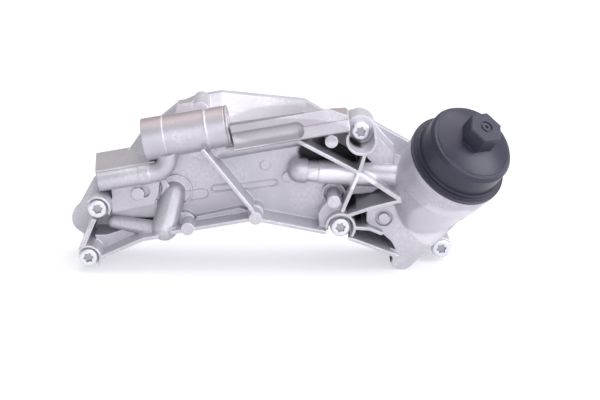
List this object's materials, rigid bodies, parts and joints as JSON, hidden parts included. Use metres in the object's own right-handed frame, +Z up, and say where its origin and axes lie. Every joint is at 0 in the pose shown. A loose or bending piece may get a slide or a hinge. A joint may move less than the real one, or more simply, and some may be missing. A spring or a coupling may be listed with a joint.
{
  "type": "oil filter housing",
  "caption": "Die-cast aluminium oil filter housing with a flat rear mounting face, an oil cooler in its rear chamber, a coolant tube, an angled filter bowl and a black screw cap with a hexagon.",
  "frame": {"origin": "on the rear mounting face, midway between the axes of the two left bolts", "axes": "+Z up as pictured; +Y out of the rear mounting face, towards the engine; +X along the mounting face to the right as seen from the front; the casting's long side rises 10 degrees from +X"},
  "size_m": [0.3829, 0.1367, 0.1497],
  "materials": {
    "cast_aluminium": "satin",
    "cap_plastic": "satin",
    "zinc_steel": "satin",
    "seal_rubber": "matte",
    "cooler_plates": "satin",
    "element_plastic": "matte",
    "filter_paper": "matte",
    "spring_steel": "satin"
  },
  "bodies": {
    "body": {"housing": "cast_aluminium", "oil_cooler": "cooler_plates", "cooler_port_seals": "seal_rubber", "cooler_screws": "zinc_steel", "flange_gasket": "seal_rubber", "oil_port_seals": "seal_rubber", "long_bolts": "zinc_steel", "short_bolts": "zinc_steel", "standpipe": "element_plastic", "return_check_valve": "seal_rubber"},
    "insert": {"filter_paper": "filter_paper", "element_core": "element_plastic", "upper_end_disc": "element_plastic", "lower_end_disc": "element_plastic", "drain_pin_seal": "seal_rubber"},
    "cap": {"filter_cap": "cap_plastic", "cap_seal": "seal_rubber", "bypass_cage": "element_plastic", "bypass_spring": "spring_steel"},
    "bypass": {"bypass_poppet": "element_plastic"}
  },
  "joints": [
    {"name": "cap_lift", "type": "slide", "parent": "body", "child": "insert", "axis": [0.4, -0.565, 0.7217], "range_m": [0, 0.0121]},
    {"name": "cap_turn", "type": "hinge", "parent": "insert", "child": "cap", "pos_m": [0.31283, -0.074, 0.06745], "axis": [0.4, -0.565, 0.7217], "range_deg": [0, 1080]},
    {"name": "bypass_travel", "type": "slide", "parent": "cap", "child": "bypass", "axis": [-0.4, 0.565, -0.7217], "range_m": [0, 0.003], "stiffness_N_per_m": 800, "springref_m": -0.006, "deforming": ["bypass_spring"]}
  ],
  "couplings": [
    {"joint": "cap_lift", "follows": "cap_turn", "m_per_rad": 0.00063662}
  ]
}
